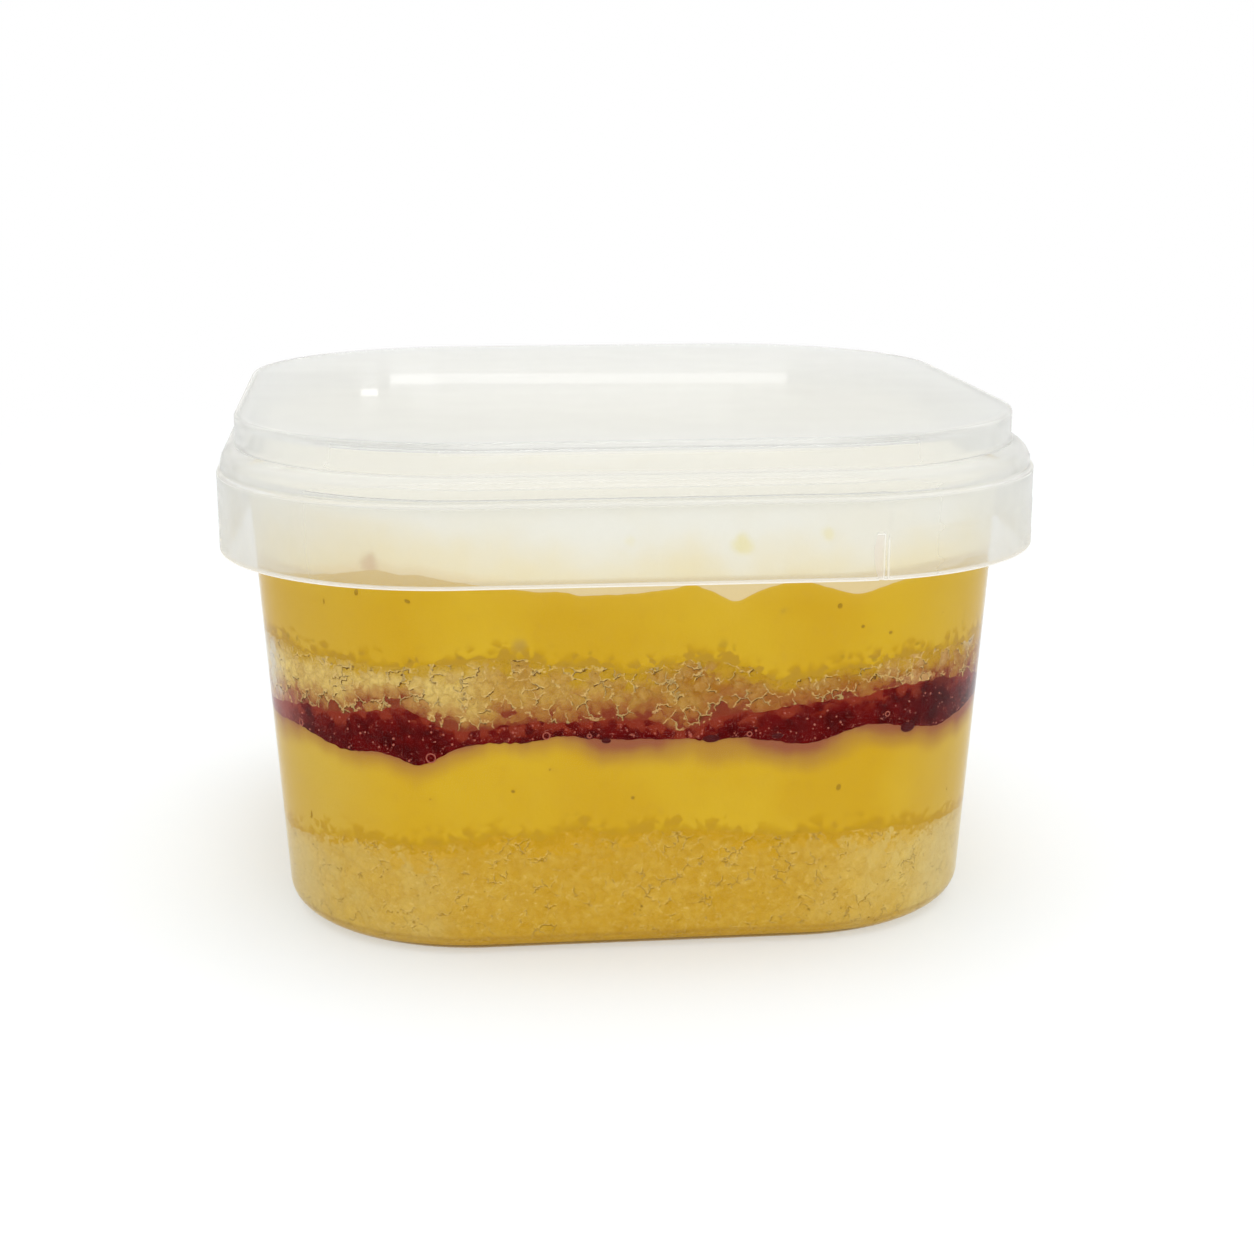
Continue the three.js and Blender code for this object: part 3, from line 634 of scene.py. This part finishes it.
def lid_piece():
    slot_angle = math.radians(STRIP_START)

    def density(angle):
        return even_density(angle) + 7 * np.exp(-((angle - slot_angle - 0.02) / 0.07) ** 2)

    angles = spread_angles(LID_SEGMENTS, density)
    under = TOTAL_HEIGHT - WALL
    round_shoulder = SHOULDER_TOP - SHOULDER_BOTTOM
    inner = PLATEAU_HALF - WALL
    # Each profile point gives a half-width, a height, and the strength of the painted edge highlight there,
    # 0 to 1; part of it is thicker plastic seen edge-on.
    profile = [(p, under, 0) for p in (24.0, 36.0, inner - 0.6)]
    profile += [(p, z, 0.5) for p, z in arc(inner - 0.4, under - 0.4, 0.4, 90, 0, 4)]
    profile += [(inner, z, 0) for z in (under - 0.6, SHOULDER_TOP - WALL + 0.3)]
    profile += [(inner, SHOULDER_TOP - WALL, 0.4), (SHOULDER_HALF - 1.3, SHOULDER_TOP - 0.95, 0.4)]
    profile += [(SKIRT_INSIDE - 0.2, SHOULDER_BOTTOM - 0.2, 0), (SKIRT_INSIDE, STEP_BOTTOM - WALL, 0)]
    profile += [(SKIRT_INSIDE, z, 0) for z in (48, 46.4, 45, 43.5)]
    profile += [(SKIRT_INSIDE, SKIRT_BOTTOM + 0.3, 0)]
    profile += [(p, z, 1) for p, z in arc(SKIRT_INSIDE + 0.2, SKIRT_BOTTOM + 0.2, 0.2, 180, 270, 4)]
    profile += [(p, z, 1) for p, z in arc(LID_HALF - 0.14, SKIRT_BOTTOM + 0.14, 0.14, 270, 360, 4)]
    profile += [(LID_HALF, SKIRT_BOTTOM + 0.24, 0.3)]
    skirt = np.linspace(SKIRT_BOTTOM + 0.4, STEP_BOTTOM - 0.5, SKIRT_ROWS)
    profile += [(LID_HALF, z, 0) for z in skirt]
    profile += [(p, z, 0.6) for p, z in arc(LID_HALF - 0.2, STEP_BOTTOM - 0.2, 0.2, 0, 80, 5)]
    profile += [(SHOULDER_HALF, STEP_BOTTOM + 0.12, 0.5), (SHOULDER_HALF, STEP_BOTTOM + 0.4, 0)]
    shoulder = arc(SHOULDER_HALF - round_shoulder, SHOULDER_BOTTOM, round_shoulder, 0, 86, 12)
    profile += [(p, z, 0.2) for p, z in shoulder]
    profile += [(PLATEAU_HALF + 0.12, SHOULDER_TOP, 0.6), (PLATEAU_HALF, SHOULDER_TOP + 0.2, 0.5)]
    profile += [(PLATEAU_HALF, z, 0) for z in (53.4, 54.4, 55.2)]
    edge = arc(PLATEAU_HALF - PLATEAU_EDGE, TOTAL_HEIGHT - PLATEAU_EDGE, PLATEAU_EDGE, 0, 90, 8)
    profile += [(p, z, 0.7) for p, z in edge]
    profile += [(p, TOTAL_HEIGHT, 0) for p in (42.0, 40.0, 36.0, 30.0, 24.0)]

    degrees = np.degrees(angles)
    in_strip = smoothstep(degrees, STRIP_START - 0.1, STRIP_START + 1.6)
    in_strip = in_strip * (1 - smoothstep(degrees, STRIP_END - 0.35, STRIP_END))
    in_strip = in_strip * (1 - 0.75 * np.exp(-(((degrees + 40) / 14) ** 2)))
    slant = np.abs(np.tan(angles))
    # The plateau's painted edge highlight dims towards the corners, as the reflections there would.
    corner = 0.55 * smoothstep(np.minimum(slant, 1 / np.maximum(slant, 1e-9)), 0.35, 0.6)
    rings, edge_highlights, slots = [], [], []
    for half, z, bright in profile:
        outside = half > SKIRT_INSIDE + 0.1 and z < SHOULDER_BOTTOM
        inset = np.zeros_like(angles)
        slot = np.zeros_like(angles)
        if outside:
            foot = 1 - smoothstep(z, SKIRT_BOTTOM + BEAD_HEIGHT, SKIRT_BOTTOM + BEAD_HEIGHT + 0.7)
            above = smoothstep(z, STRIP_TOP, STRIP_TOP + 0.6)
            gone = smoothstep(z, SHOULDER_BOTTOM - 0.25, SHOULDER_BOTTOM)
            inset = in_strip * STRIP_PROUD * (1 - foot + above) * (1 - gone)
        reach = (half - inset) * square_reach(angles, lid_share(z))
        x, y = reach * np.cos(angles), reach * np.sin(angles)
        if outside:
            slot = np.where(y < 0, slot_mask(x, z), 0)
            lip = np.where(y < 0, np.exp(-((x - LIP_PLACE) / LIP_WIDTH) ** 2), 0)
            lip = lip * (1 - smoothstep(z, SKIRT_BOTTOM + SLOT_HEIGHT - 0.4, SKIRT_BOTTOM + SLOT_HEIGHT))
            reach = reach - SLOT_DEPTH * slot - LIP_DEPTH * lip
            slot = np.maximum(slot, 0.5 * lip)
            x, y = reach * np.cos(angles), reach * np.sin(angles)
        rings.append(np.stack([x, y, np.full_like(angles, z)], -1))
        edge_highlights.append(bright * (1 - corner) if z > SHOULDER_TOP else np.full_like(angles, bright))
        slots.append(slot)
    values = {"edge": np.array(edge_highlights), "slot": np.array(slots)}
    return skin("lid_shell", np.array(rings), (0, 0, under), (0, 0, TOTAL_HEIGHT), values)


# Half-width of the food, which follows the inside of the tub and its base fillet.
def food_half(z):
    radius = BASE_FILLET - WALL + SEAT
    above = np.clip(z - FOOD_FLOOR, 0, radius)
    tuck = radius - np.sqrt(radius**2 - (radius - above) ** 2)
    return wall_half(z) - FOOD_FLOOR - tuck


def surface_height(surface, x, y):
    near = 1 - smoothstep(y, FRONT_NEAR, FRONT_FAR)
    front = sum(rise * np.exp(-(((x - at) / width) ** 2)) for at, width, rise in surface["front"])
    long = np.sin((x * 0.8 + y) / LONG_ROLL * 2 * math.pi + surface["phase"])
    short = np.sin((x - y * 0.6) / SHORT_ROLL * 2 * math.pi + 2 * surface["phase"])
    slow = surface["roll"] * (0.65 * long + 0.35 * short)
    total = surface["level"] + near * front + (1 - near) * slow
    for side, at, width, rise in surface.get("dips", ()):
        total = total + rise * np.exp(-(((y - at) / width) ** 2)) * smoothstep(x * side, 0, 20)
    return total


def ragged(surface, x, y):
    total = np.zeros_like(x)
    for height, length in surface["ragged"]:
        at = zip(x / length, y / length)
        total += height * np.array([noise.noise(Vector((a, b, surface["phase"] * 7))) for a, b in at])
    return total


# Points round the food, and the rings over a layer's top and bottom, as shares of the way to the wall.
FOOD_SEGMENTS = 1080
RINGS = (0.3, 0.6, 0.84, 0.95, 0.9995)

# Relief of the food: depths of a sponge's pores and cracks, a crack's width as a share of a cell, the length
# of a curd's or cream's waves, and the height over which all relief fades in from a layer's edge.
PORE_DEPTH = 0.1
CRACK_DEPTH = 0.08
CRACK_WIDTH = 0.16
WAVE_LENGTH = 2.5
RELIEF_FADE = 0.35


def food_density(angle):
    return 1 + 0.55 * smoothstep(-np.sin(angle), 0.2, 0.85) + 0.2 * np.cos(4 * (angle - math.pi / 4))


FOOD_ANGLES = spread_angles(FOOD_SEGMENTS, food_density)


def wall_points(z, dent=0.0):
    reach = (food_half(z) - dent) * square_reach(FOOD_ANGLES, tub_share(z))
    return reach * np.cos(FOOD_ANGLES), reach * np.sin(FOOD_ANGLES)


# Height all along the wall of the surface between two layers, and its raggedness there.
def boundary(surface):
    if surface is None:
        return np.full(FOOD_SEGMENTS, FOOD_FLOOR), np.zeros(FOOD_SEGMENTS)
    z = np.full(FOOD_SEGMENTS, surface["level"])
    rag = ragged(surface, *wall_points(z))
    for _ in range(4):
        z = surface_height(surface, *wall_points(z)) + rag
    return z, rag


# Depth of the pores and cracks of a sponge at each point of a ring.
def crumb_dent(x, y, z, cell):
    out = np.zeros_like(x)
    for n, (a, b, c) in enumerate(zip(x, y, z)):
        place = Vector((a, b, c))
        hollow = noise.noise(place / (cell * 0.9))
        split = noise.voronoi(place / cell)[0]
        gap = max(0.0, 1 - (split[1] - split[0]) / CRACK_WIDTH)
        cracked = noise.noise(place / 3.0) > 0.0
        out[n] = PORE_DEPTH * max(0.0, hollow) + CRACK_DEPTH * gap * cracked
    return np.minimum(out, SEAT - 0.03)


def soft_dent(x, y, z):
    at = zip(x / WAVE_LENGTH, y / WAVE_LENGTH, z / WAVE_LENGTH)
    return np.array([0.03 + 0.05 * noise.noise(Vector(place)) for place in at])


# One layer of food between two surfaces, in rows of a given height. A cell is the size of a sponge's crumb,
# and fillet lists heights of more rows.
def layer(name, below, above, row, cell=None, fillet=()):
    below, above = SURFACES.get(below), SURFACES[above]
    low, low_rag = boundary(below)
    high, high_rag = boundary(above)
    count = max(3, int(np.ceil((high - low).mean() / row)))
    mean = (high - low).mean()
    extra = np.array([0.02, mean - 0.02, *fillet]) / mean
    levels = np.unique(np.concatenate([extra, np.linspace(0, 1, count + 1)]))
    rings, up, down = [], [], []
    height = high - low

    def lid_of(surface, rag, edge, share, is_top):
        x, y = wall_points(edge)
        x, y = x * share, y * share
        z = edge.copy() if surface is None else surface_height(surface, x, y) + rag * share**12
        rings.append(np.stack([x, y, z], -1))
        up.append(height if is_top else np.zeros(FOOD_SEGMENTS))
        down.append(np.zeros(FOOD_SEGMENTS) if is_top else height)

    for share in RINGS:
        lid_of(below, low_rag, low, share, False)
    for level in levels:
        z = lerp(low, high, level)
        x, y = wall_points(z)
        dent = np.zeros(FOOD_SEGMENTS)
        if 0 < level < 1 and cell:
            dent = crumb_dent(x, y, z, cell)
        elif 0 < level < 1:
            dent = soft_dent(x, y, z)
        fade = np.minimum(1, np.minimum(z - low, high - z) / RELIEF_FADE)
        x, y = wall_points(z, dent * np.clip(fade, 0, 1))
        rings.append(np.stack([x, y, z], -1))
        up.append(z - low)
        down.append(high - z)
    for share in reversed(RINGS):
        lid_of(above, high_rag, high, share, True)
    centre = np.zeros(1)
    first = FOOD_FLOOR if below is None else surface_height(below, centre, centre)[0]
    last = surface_height(above, centre, centre)[0]
    values = {"up": np.array(up), "down": np.array(down)}
    return skin(name, np.array(rings), (0, 0, first), (0, 0, last), values)


def wall_place(angle, z, depth):
    reach = (food_half(z) - depth) * float(square_reach(np.array(angle), tub_share(z)))
    return Vector((reach * math.cos(angle), reach * math.sin(angle), z))


def wall_normal(angle, z):
    ahead = wall_place(angle + 0.01, z, 0) - wall_place(angle - 0.01, z, 0)
    return Vector((ahead.y, -ahead.x, 0)).normalized()


# A flattened ball on the wall: half-sizes along the wall, up it and out of it.
def ball(centre, out, along, up, thick, tilt=0.0, rows=6, count=10):
    side = out.cross(Vector((0, 0, 1))).normalized()
    rise = side.cross(out)
    a, b = side * math.cos(tilt) + rise * math.sin(tilt), rise * math.cos(tilt) - side * math.sin(tilt)
    points, faces = [], []
    for i in range(1, rows):
        polar = math.pi * i / rows
        for j in range(count):
            turn = 2 * math.pi * j / count
            spot = a * (along * math.sin(polar) * math.cos(turn))
            spot = spot + b * (up * math.sin(polar) * math.sin(turn))
            points.append(tuple(centre + spot + out * (thick * math.cos(polar))))
    points += [tuple(centre + out * thick), tuple(centre - out * thick)]
    for i in range(rows - 2):
        for j in range(count):
            k = (j + 1) % count
            faces.append((i * count + k, (i + 1) * count + k, (i + 1) * count + j, i * count + j))
    last = (rows - 2) * count
    for j in range(count):
        k = (j + 1) % count
        faces.append((len(points) - 2, k, j))
        faces.append((len(points) - 1, last + j, last + k))
    return points, faces


# A thin ring that lies flat on the wall.
def ring(centre, out, radius, tube, rows=8, count=24):
    side = out.cross(Vector((0, 0, 1))).normalized()
    rise = side.cross(out)
    points, faces = [], []
    for j in range(count):
        turn = 2 * math.pi * j / count
        spoke = side * math.cos(turn) + rise * math.sin(turn)
        for i in range(rows):
            bend = 2 * math.pi * i / rows
            spot = centre + spoke * (radius + tube * math.cos(bend)) + out * (tube * math.sin(bend))
            points.append(tuple(spot))
    for j in range(count):
        for i in range(rows):
            k, m = (j + 1) % count, (i + 1) % rows
            faces.append((j * rows + m, k * rows + m, k * rows + i, j * rows + i))
    return points, faces


def level_at(surface, angle):
    edge, _ = EDGES[surface]
    order = np.argsort(FOOD_ANGLES)
    return float(np.interp(angle, FOOD_ANGLES[order], edge[order]))


# Tries at an air pocket, and the angles between which they fall: all round, then more at the front's two
# ends.
BUBBLE_GLINT_TRIES = ((900, -math.pi, math.pi), (60, -1.25, -0.66), (20, -2.4, -1.9))


# Small pale balls and flat rings on the wall: the jam's real air bubbles, coloured pale as painted glints.
def bubble_glints():
    rng = random.Random(5)
    parts = []
    tries = [(start, end) for count, start, end in BUBBLE_GLINT_TRIES for _ in range(count)]
    for start, end in tries:
        angle = rng.uniform(start, end)
        low, high = level_at("lower_curd_top", angle), level_at("berry_jam_top", angle)
        if high - low < 0.7:
            continue
        z = low + 0.25 + (high - low - 0.6) * rng.random() ** 1.5
        radius = 0.05 + 0.1 * rng.random() ** 3
        out = wall_normal(angle, z)
        parts.append(ball(wall_place(angle, z, 0.0), out, radius, radius, 0.05, rows=5, count=8))
    for angle, z, radius in ((-120.4, 22.45, 0.48), (-105.2, 24.75, 0.36), (-141.4, 23.9, 0.36),
                             (-75.0, 24.3, 0.24), (-56.0, 25.6, 0.26), (-99.0, 24.6, 0.2),
                             (20.0, 25.0, 0.35), (97.0, 25.2, 0.4), (171.0, 25.0, 0.3)):
        angle = math.radians(angle)
        parts.append(ring(wall_place(angle, z, -0.02), wall_normal(angle, z), radius, 0.07))
    return scatter("jam_bubble_glints", parts)


def drops():
    parts = []
    for angle, z, along, up in ((-52.4, 23.7, 1.0, 0.6), (-80.6, 23.9, 0.9, 0.42), (-71.0, 24.0, 0.6, 0.3),
                                (-96.5, 24.0, 0.5, 0.28), (38.0, 24.3, 0.8, 0.5), (140.0, 24.6, 0.7, 0.4)):
        angle = math.radians(angle)
        out = wall_normal(angle, z)
        parts.append(ball(wall_place(angle, z, 0.0), out, along, up, 0.14, rows=10, count=22))
    return scatter("jam_drops", parts)


def specks():
    rng = random.Random(11)
    parts = []
    named = ((-62.3, 17.86, 0.26, 0.36, 0.3), (-140.9, 13.4, 0.17, 0.5, 0.1), (-104.8, 20.97, 0.13, 0.13, 0),
             (-110.0, 18.64, 0.24, 0.17, 0.5), (-92.4, 17.5, 0.2, 0.2, 0), (-120.8, 17.8, 0.1, 0.1, 0),
             (-63.9, 38.1, 0.27, 0.3, 0.2), (-60.6, 35.7, 0.22, 0.2, 0), (-56.5, 34.7, 0.24, 0.2, 0),
             (-134.5, 38.4, 0.16, 0.34, 0), (-129.2, 39.9, 0.22, 0.36, 0.2), (-122.3, 39.4, 0.34, 0.2, 0.4))
    for angle, z, along, up, tilt in named:
        angle = math.radians(angle)
        parts.append(ball(wall_place(angle, z, 0.02), wall_normal(angle, z), along, up, 0.06, tilt, 8, 14))
    for _ in range(70):
        angle = rng.uniform(-0.9, 3.4)
        upper = rng.random() < 0.5
        low = level_at("middle_sponge_top" if upper else "base_sponge_top", angle)
        high = level_at("upper_curd_top" if upper else "lower_curd_top", angle)
        z = low + 0.8 + (high - low - 1.8) * rng.random()
        size = 0.08 + 0.2 * rng.random() ** 2
        height, tilt = size * rng.uniform(0.7, 1.6), rng.uniform(-1, 1)
        out = wall_normal(angle, z)
        parts.append(ball(wall_place(angle, z, 0.02), out, size, height, 0.05, tilt, 6, 10))
    return scatter("curd_specks", parts)


def dress(piece, material, slot, *nodes):
    piece.data.materials.append(material)
    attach(piece, "root")
    if nodes:
        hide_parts(*nodes)


dress(tub_piece(), tub_material(), "clear_plastic", "tub")
dress(lid_piece(), lid_material(), "frosted_plastic", "lid")

EDGES = {name: boundary(surface) for name, surface in SURFACES.items()}
dress(layer("base_sponge_crumb", None, "base_sponge_top", 0.3, 1.0, (0.06, 0.2, 0.45, 0.8, 1.2, 1.7, 2.2)),
      base_sponge_material(), "sponge", "base_sponge")
dress(layer("lower_curd_body", "base_sponge_top", "lower_curd_top", 0.5),
      curd_material("lower_curd", True, 0.35), "curd", "lower_curd")
dress(layer("berry_jam_body", "lower_curd_top", "berry_jam_top", 0.25),
      jam_material(), "jam", "berry_jam")
dress(layer("middle_sponge_crumb", "berry_jam_top", "middle_sponge_top", 0.25, 1.4),
      middle_sponge_material(), "soaked_sponge", "middle_sponge")
dress(layer("upper_curd_body", "middle_sponge_top", "upper_curd_top", 0.5),
      curd_material("upper_curd", False, 0.8), "curd", "upper_curd")
dress(layer("cream_body", "upper_curd_top", "cream_top", 0.5),
      cream_material(), "cream", "cream")
# Air bubbles in the jam, pale as painted glints.
dress(bubble_glints(), plain_material("bubble_glint", srgb(178, 88, 70), 0.3, 0.2), "jam")
dress(drops(), plain_material("drop", srgb(76, 3, 4), 0.3, 0.1), "jam")
dress(specks(), plain_material("speck", srgb(178, 138, 36), 0.6, 0.02), "curd")


# The floor: its half-width and height in metres, and the distances in millimetres over which it fades out.
FLOOR_HALF = 0.8
FLOOR_Z = -0.00005
FLOOR_FADE = (130, 420)


def floor():
    mesh = bpy.data.meshes.new("studio_floor")
    half = FLOOR_HALF
    corners = [(-half, -half), (half, -half), (half, half), (-half, half)]
    mesh.from_pydata([(x, y, FLOOR_Z) for x, y in corners], [], [(0, 1, 2, 3)])
    piece = bpy.data.objects.new("studio_floor", mesh)
    bpy.context.scene.collection.objects.link(piece)
    p = Paint("floor")
    glow = {"Emission_Color": (0.9, 0.97, 1.0), "Emission_Strength": 0.31}
    plain = p.principled((0.70, 0.71, 0.72), 0.9, 0.05, **glow)
    gone = p.span(p.vector("LENGTH", p.mm), *FLOOR_FADE)
    mesh.materials.append(p.done(p.blend(gone, plain, p.node("BsdfTransparent", {}))))


# A lamp that the camera doesn't see. Places and sizes are in metres.
def area_light(name, place, aim, size, power, size_y=None):
    lamp = bpy.data.lights.new(name, "AREA")
    lamp.shape = "RECTANGLE"
    lamp.size, lamp.size_y = size, size_y or size
    lamp.energy = power
    holder = bpy.data.objects.new(name, lamp)
    holder.location = place
    holder.rotation_mode = "QUATERNION"
    holder.rotation_quaternion = (Vector(aim) - Vector(place)).to_track_quat("-Z", "Y")
    holder.visible_camera = False
    bpy.context.scene.collection.objects.link(holder)


# A white room: pure white straight behind the pot, a little dimmer through the plastic and as light.
def world():
    made = bpy.data.worlds.new("studio")
    made.use_nodes = True
    tree = made.node_tree
    tree.nodes.clear()
    out = tree.nodes.new("ShaderNodeOutputWorld")
    path = tree.nodes.new("ShaderNodeLightPath")

    def background(strength):
        made_node = tree.nodes.new("ShaderNodeBackground")
        made_node.inputs["Color"].default_value = (1, 1, 1, 1)
        made_node.inputs["Strength"].default_value = strength
        return made_node.outputs[0]

    def choose(ray, otherwise, chosen):
        mix = tree.nodes.new("ShaderNodeMixShader")
        tree.links.new(path.outputs[ray], mix.inputs[0])
        tree.links.new(otherwise, mix.inputs[1])
        tree.links.new(chosen, mix.inputs[2])
        return mix.outputs[0]

    room = choose("Is Transmission Ray", background(0.84), background(0.92))
    tree.links.new(choose("Is Camera Ray", room, background(1.0)), out.inputs["Surface"])
    bpy.context.scene.world = made


def camera():
    lens = bpy.data.cameras.new("camera")
    lens.lens, lens.sensor_width = LENS, SENSOR
    lens.shift_x, lens.shift_y = SHIFT
    lens.clip_start, lens.clip_end = 0.01, 20
    holder = bpy.data.objects.new("camera", lens)
    holder.location = EYE
    holder.rotation_mode = "QUATERNION"
    holder.rotation_quaternion = (LOOK_AT - EYE).to_track_quat("-Z", "Y")
    bpy.context.scene.collection.objects.link(holder)
    bpy.context.scene.camera = holder


floor()
world()
camera()
area_light("overhead", (0.02, 0.02, 1.0), (0, 0, 0.02), 0.45, 2.4)
area_light("front", (0.0, -1.1, 0.55), (0, 0, 0.03), 0.9, 1.8)
area_light("back_glow", (0.09, 1.0, 0.165), (0, 0, 0.05), 0.6, 0.013, 0.03)
area_light("band", (0.0905, 1.0, 0.184), (0, 0, 0.05), 0.235, 0.0045, 0.006)
area_light("band_end", (-0.0135, 1.0, 0.184), (0, 0, 0.05), 0.027, 0.00022, 0.006)
area_light("band_glow", (0.081, 1.0, 0.197), (0, 0, 0.05), 0.188, 0.0013, 0.016)
area_light("spark", (-0.0387, 1.0, 0.1907), (0, 0, 0.05), 0.01, 0.0003, 0.004)

scene = bpy.context.scene
scene.view_settings.view_transform = "Standard"
scene.cycles.max_bounces = 10
scene.cycles.diffuse_bounces = 3
scene.cycles.glossy_bounces = 4
scene.cycles.transmission_bounces = 8
scene.cycles.transparent_max_bounces = 16
